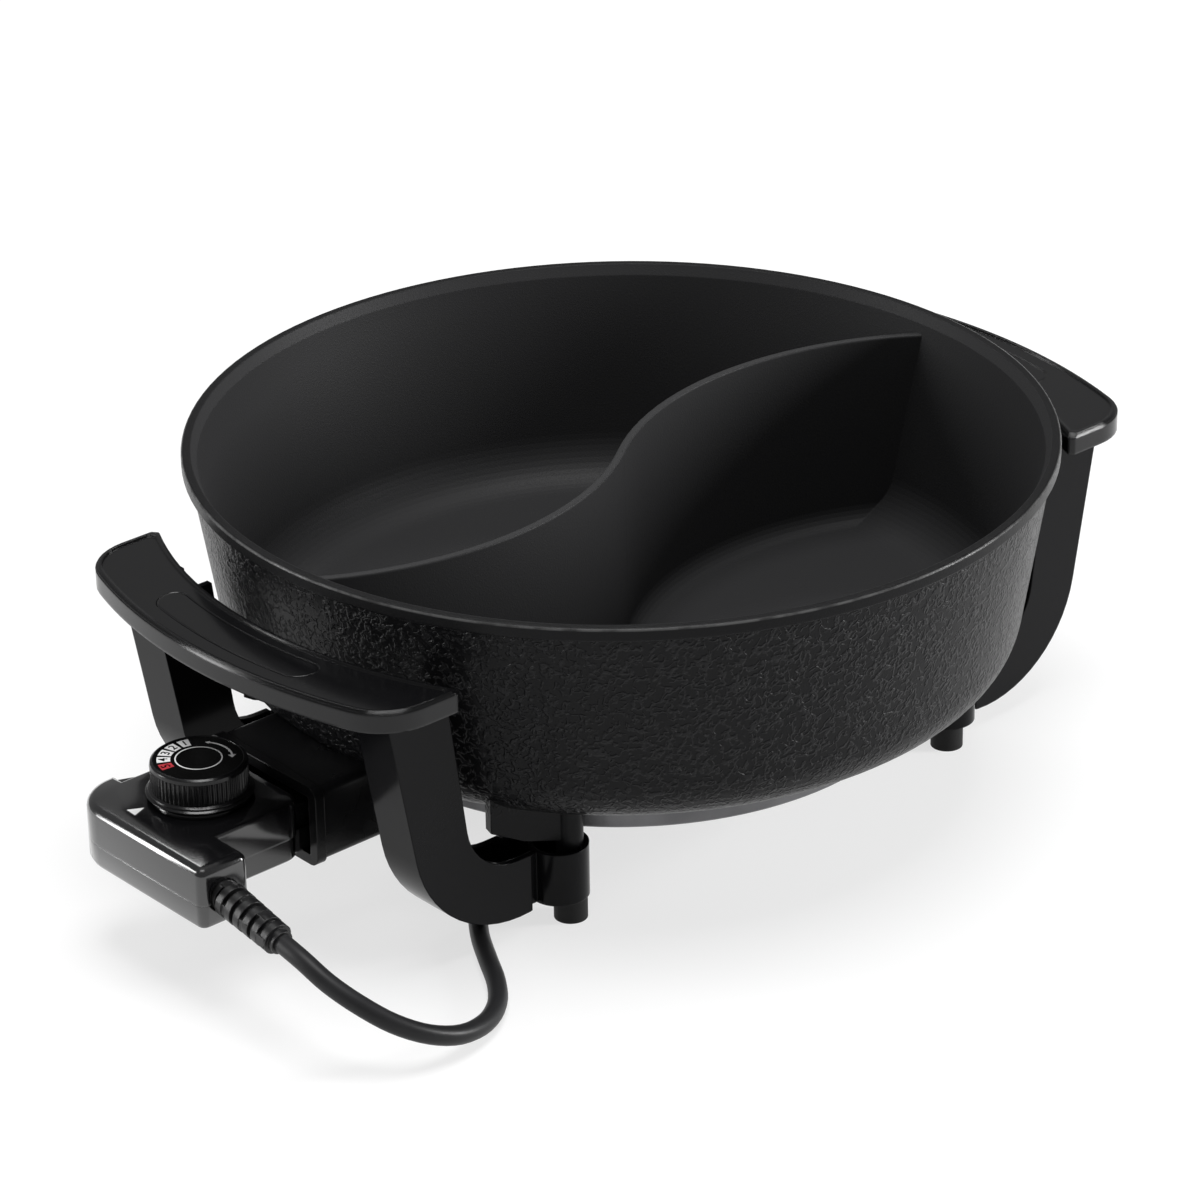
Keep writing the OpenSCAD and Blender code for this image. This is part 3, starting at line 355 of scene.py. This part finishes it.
# ---- Handles ----
# Two black phenolic mouldings, each a curved grip plate on two hollow legs that
# end in collars under the pan's lugs. The plate is polished, with a raised lip and a
# faint groove in the shape of a bent slot.
PLATE_TOP = 0.1133
PLATE_UNDERSIDE = 0.1052
GROOVE_MIDDLE = (0.024, 0.2055)   # centre of its arc beyond the axis, and radius
GROOVE_HALF_LENGTH = 0.035
GROOVE_HALF_WIDTH = 0.0062
GROOVE_DEPTH = 0.00026
PHENOLIC_COLOR = (0.0045, 0.0045, 0.005)
CREASE = math.radians(30)         # facets that meet at less than this shade as one curve
MERGE_DISTANCE = 0.00001


def softened(name, body, material):
    """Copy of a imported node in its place, whose shallow facets shade as one curve."""
    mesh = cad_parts[name].data.copy()
    mesh.materials.clear()
    mesh.materials.append(material)
    stored_normals = mesh.attributes.get("custom_normal")
    if stored_normals:
        mesh.attributes.remove(stored_normals)
    shape = bmesh.new()
    shape.from_mesh(mesh)
    bmesh.ops.remove_doubles(shape, verts=shape.verts, dist=MERGE_DISTANCE)
    shape.to_mesh(mesh)
    shape.free()
    mesh.shade_smooth()
    mesh.set_sharp_from_angle(angle=CREASE)
    piece = bpy.data.objects.new(name + "_softened", mesh)
    bpy.context.scene.collection.objects.link(piece)
    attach(piece, body)
    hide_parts(name)
    return piece


def phenolic(name, specular, roughness, edge):
    """Black phenolic, more or less polished, with the groove in the plate's top."""
    finish = Finish(name, PHENOLIC_COLOR, roughness, specular=specular)
    east, north, height = finish.axes()
    along = east.math("ABSOLUTE") + GROOVE_MIDDLE[0]
    side = (along * along + north * north) ** 0.5 - GROOVE_MIDDLE[1]
    beyond = (north.math("ABSOLUTE") - GROOVE_HALF_LENGTH).math("MAXIMUM", 0)
    groove_way = (side * side + beyond * beyond) ** 0.5 - GROOVE_HALF_WIDTH
    groove = (groove_way.math("ABSOLUTE").step(0.0001, 0.0006, 1, 0)
              * height.step(PLATE_TOP - 0.002, PLATE_TOP - 0.001))
    grain = finish.noise(1100, 2)
    finish.put("Normal", finish.relief(grain * 0.02 - groove, GROOVE_DEPTH, edge))
    finish.put("Roughness", finish.noise(40, 4).step(0.3, 0.7, roughness - 0.02,
                                                     roughness + 0.02))
    return finish.material


handle_plastic = phenolic("handle_plastic", 0.1, 0.15, 0.0007)
polished_plate = phenolic("polished_plate", 0.34, 0.13, 0.0014)
paint(handle_plastic, "front_handle", "rear_handle")
for name in ("front_handle", "rear_handle"):
    handle = softened(name, "pot", handle_plastic).data
    handle.materials.append(polished_plate)
    for face in handle.polygons:
        face.material_index = int(face.center.z > PLATE_UNDERSIDE)


# ---- Feet ----
# Black rubber feet that plug into the collars. Each is moulded over the head of its
# steel screw, which runs up through the collar into the pan's lug.
paint(moulded("foot_rubber", (0.012, 0.012, 0.012), 0.6, 1200, 0.00004), "feet")
paint(metal("screw_steel", (0.55, 0.55, 0.55), 0.35, 300, 0.28, 0.45),
      "foot_screws", "guard_screws", "control_screws", "dial_spindle")


# ---- Terminal guard ----
# Black moulded hood over the terminals, with a flange round its mouth, held by two
# screws under the heater casting.
guard_plastic = moulded("guard_plastic", (0.005, 0.005, 0.0055), 0.3, 800, 0.00003, edge=0.0006)
paint(guard_plastic, "terminal_guard")
softened("terminal_guard", "pot", guard_plastic)


# ---- Thermostat ----
# Polished black housing of two shells, with the steel probe and the brass
# receptacles that push onto the pins. A white printed mark points at the dial.
control_plastic = moulded("control_plastic", (0.004, 0.004, 0.0045), 0.15, 500, 0.000004,
                          specular=0.6, spread=0.03, edge=0.0011, polish=1.0)
paint(control_plastic, "control_top_shell", "control_bottom_shell")
for name in ("control_top_shell", "control_bottom_shell"):
    softened(name, "control", control_plastic)
white_print = moulded("white_print", (0.74, 0.74, 0.74), 0.4)
paint(white_print, "pointer_mark")

paint(metal("probe_steel", (0.6, 0.6, 0.6), 0.28, 400, 0.2, 0.38, 2, (0.1, 1, 1)),
      "sensing_probe")
paint(metal("contact_brass", (0.72, 0.55, 0.26), 0.3, 250, 0.22, 0.4),
      "terminal_receptacles", "bimetal_blade", "plug_pins")
paint(moulded("insulating_plastic", (0.62, 0.58, 0.48), 0.5),
      "receptacle_carrier", "contact_block")


# ---- Dial ----
# Black grip with fine ribs over two flared rings. The flat face is printed with a
# thin ring, five blocks with their figures, the last one red, and an arrow arc.
DIAL_AXIS = (-0.197, 0.0)
PRINT_HEIGHT = 0.07120
PRINT_THICKNESS = 0.00004
BLOCK_ANGLES = (76, 99, 121, 143, 166)
BLOCK_HALF_ANGLE = 8.6
BLOCK_RADII = (0.0098, 0.0146)
RING_RADII = (0.0079, 0.0084)
RING_GAP = 0.1                    # degrees left at each end of its four parts
ARROW_RADII = (0.0114, 0.0121)
ARROW_ENDS = (-30, 34)
FIGURE_SIZE = 0.0046
FIGURE_WEIGHT = 0.00006

dial_plastic = moulded("dial_plastic", (0.005, 0.005, 0.0055), 0.22, 900, 0.00002,
                       specular=0.4, edge=0.0004)
paint(dial_plastic, "dial_knob", "dial_skirt")
dial_face_plastic = moulded("dial_face_plastic", (0.004, 0.004, 0.004), 0.2, 500, 0.000004,
                            spread=0.03)
paint(dial_face_plastic, "dial_face")


def band(low, high, start, end, steps):
    """Ring of points round the part of a ring from start to end degrees."""
    turns = [math.radians(start + (end - start) * k / steps) for k in range(steps + 1)]
    return ([(high * math.cos(a), high * math.sin(a)) for a in turns]
            + [(low * math.cos(a), low * math.sin(a)) for a in reversed(turns)])


def arrow_head(radius, angle, way, size):
    """Triangle at the end of an arc, pointing along it."""
    a, tip = math.radians(angle), math.radians(angle + way * math.degrees(size * 1.5 / radius))
    return [(r * math.cos(t), r * math.sin(t))
            for r, t in ((radius - size, a), (radius, tip), (radius + size, a))]


def printed(name, outlines, material):
    """Thin ink on the dial's face, from outlines about its axis."""
    shape = bmesh.new()
    for outline in outlines:
        low, high = ([shape.verts.new((DIAL_AXIS[0] + x, DIAL_AXIS[1] + y, z)) for x, y in outline]
                     for z in (PRINT_HEIGHT, PRINT_HEIGHT + PRINT_THICKNESS))
        shape.faces.new(high)
        shape.faces.new(low[::-1])
        for k in range(len(outline)):
            n = (k + 1) % len(outline)
            shape.faces.new((low[k], low[n], high[n], high[k]))
    bmesh.ops.recalc_face_normals(shape, faces=shape.faces)
    mesh = bpy.data.meshes.new(name)
    shape.to_mesh(mesh)
    shape.free()
    mesh.materials.append(material)
    piece = bpy.data.objects.new(name, mesh)
    bpy.context.scene.collection.objects.link(piece)
    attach(piece, "dial")


def block(angle):
    """Outline of the printed block whose middle is at an angle."""
    return band(*BLOCK_RADII, angle - BLOCK_HALF_ANGLE, angle + BLOCK_HALF_ANGLE, 8)


printed("dial_ring", [band(*RING_RADII, start + RING_GAP, start + 90 - RING_GAP, 16)
                      for start in (0, 90, 180, 270)], white_print)
printed("dial_blocks", [block(a) for a in BLOCK_ANGLES[:4]], white_print)
printed("dial_last_block", [block(BLOCK_ANGLES[4])],
        moulded("red_print", (0.42, 0.035, 0.045), 0.4))
arrow_middle = sum(ARROW_RADII) / 2
printed("dial_arrow", [band(*ARROW_RADII, *ARROW_ENDS, 20),
                       arrow_head(arrow_middle, ARROW_ENDS[1], 1, 0.0010),
                       arrow_head(arrow_middle, ARROW_ENDS[0], -1, 0.0014)], white_print)
middle = sum(BLOCK_RADII) / 2
for figure, angle in zip("12345", BLOCK_ANGLES):
    text = bpy.data.curves.new("dial_figure_" + figure, "FONT")
    text.body = figure
    text.size = FIGURE_SIZE
    text.align_x = text.align_y = "CENTER"
    text.extrude = PRINT_THICKNESS / 2
    text.offset = FIGURE_WEIGHT
    text.materials.append(dial_face_plastic)
    turn = math.radians(angle)
    letter = bpy.data.objects.new(text.name, text)
    letter.matrix_world = Matrix.Translation(
        (DIAL_AXIS[0] + middle * math.cos(turn), DIAL_AXIS[1] + middle * math.sin(turn),
         PRINT_HEIGHT + 1.5 * PRINT_THICKNESS)) @ Matrix.Rotation(turn - math.pi / 2, 4, "Z")
    bpy.context.scene.collection.objects.link(letter)
    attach(letter, "dial")


# ---- Strain relief, strap and plug ----
# Soft black rubber sleeve with slotted ribs on the lead's way out, a plastic strap
# round the coil, and the moulded plug with its brass pins.
paint(moulded("relief_rubber", (0.007, 0.007, 0.0075), 0.34, 1200, 0.00003, specular=0.4,
              edge=0.0005), "strain_relief")
paint(moulded("tie_plastic", (0.02, 0.02, 0.02), 0.5), "coil_tie")
paint(moulded("plug_plastic", (0.010, 0.010, 0.011), 0.38, 900, 0.00003), "plug_body")


# ---- Table and light ----
# Plain white table that keeps a light shadow, a wide soft lamp overhead, and narrow
# lamps at the sides and behind that draw the bright lines along the glossy edges.
TABLE_HALF = 12
TABLE_GLOW = 0.68                 # share of plain white in what is seen of the table
SKY_STRENGTH = 0.25
OVERHEAD_STRENGTH = 2.3
OVERHEAD_WIDTH = math.radians(32)
table_mesh = bpy.data.meshes.new("table")
table_mesh.from_pydata([(x * TABLE_HALF, y * TABLE_HALF, 0)
                        for x, y in ((-1, -1), (1, -1), (1, 1), (-1, 1))], [], [(0, 1, 2, 3)])
table = bpy.data.objects.new("table", table_mesh)
bpy.context.scene.collection.objects.link(table)
table_top = Finish("table_top", (0.9, 0.9, 0.9), 0.7, specular=0.2)
seen, mirrored, through = (table_top.add("LightPath", output=ray) for ray in
                           ("Is Camera Ray", "Is Glossy Ray", "Is Transmission Ray"))
shown = seen.math("MAXIMUM", mirrored).math("MAXIMUM", through)
glow = table_top.add("Emission", {}, {"Color": (1, 1, 1, 1), "Strength": 1.0})
table_top.feed(table_top.nodes["Material Output"].inputs["Surface"],
               table_top.add("MixShader", {}, {0: shown * TABLE_GLOW, 2: glow,
                                               1: Wire(table_top, table_top.shader.outputs[0])}))
table_mesh.materials.append(table_top.material)

world = bpy.data.worlds.new("studio")
bpy.context.scene.world = world
world.use_nodes = True
sky = world.node_tree.nodes["Background"].inputs
sky["Color"].default_value = (1, 1, 1, 1)
sky["Strength"].default_value = SKY_STRENGTH

overhead = bpy.data.lights.new("overhead_lamp", "SUN")
overhead.energy = OVERHEAD_STRENGTH
overhead.angle = OVERHEAD_WIDTH
overhead_lamp = bpy.data.objects.new("overhead_lamp", overhead)
overhead_lamp.rotation_euler = Vector((-0.05, 0, -1)).to_track_quat("-Z", "Y").to_euler()
bpy.context.scene.collection.objects.link(overhead_lamp)


def strip_lamp(name, place, aim, size, power):
    """Flat lamp at a place in metres, turned to a point of the pot, of so many watts."""
    data = bpy.data.lights.new(name, "AREA")
    data.shape = "RECTANGLE"
    data.size, data.size_y = size
    data.energy = power
    light = bpy.data.objects.new(name, data)
    light.location = place
    light.rotation_euler = (Vector(aim) - Vector(place)).to_track_quat("-Z", "Y").to_euler()
    bpy.context.scene.collection.objects.link(light)


strip_lamp("left_lamp", (-1.1, 0.85, 0.3), (-0.1, 0, 0.08), (0.25, 0.9), 12)
strip_lamp("right_lamp", (1.0, -0.9, 0.45), (0, 0, 0.08), (0.3, 0.5), 17)
strip_lamp("back_lamp", (0.75, 1.0, 1.5), (0, 0, 0.1), (1.5, 0.12), 5)

bpy.context.scene.view_settings.view_transform = "Standard"
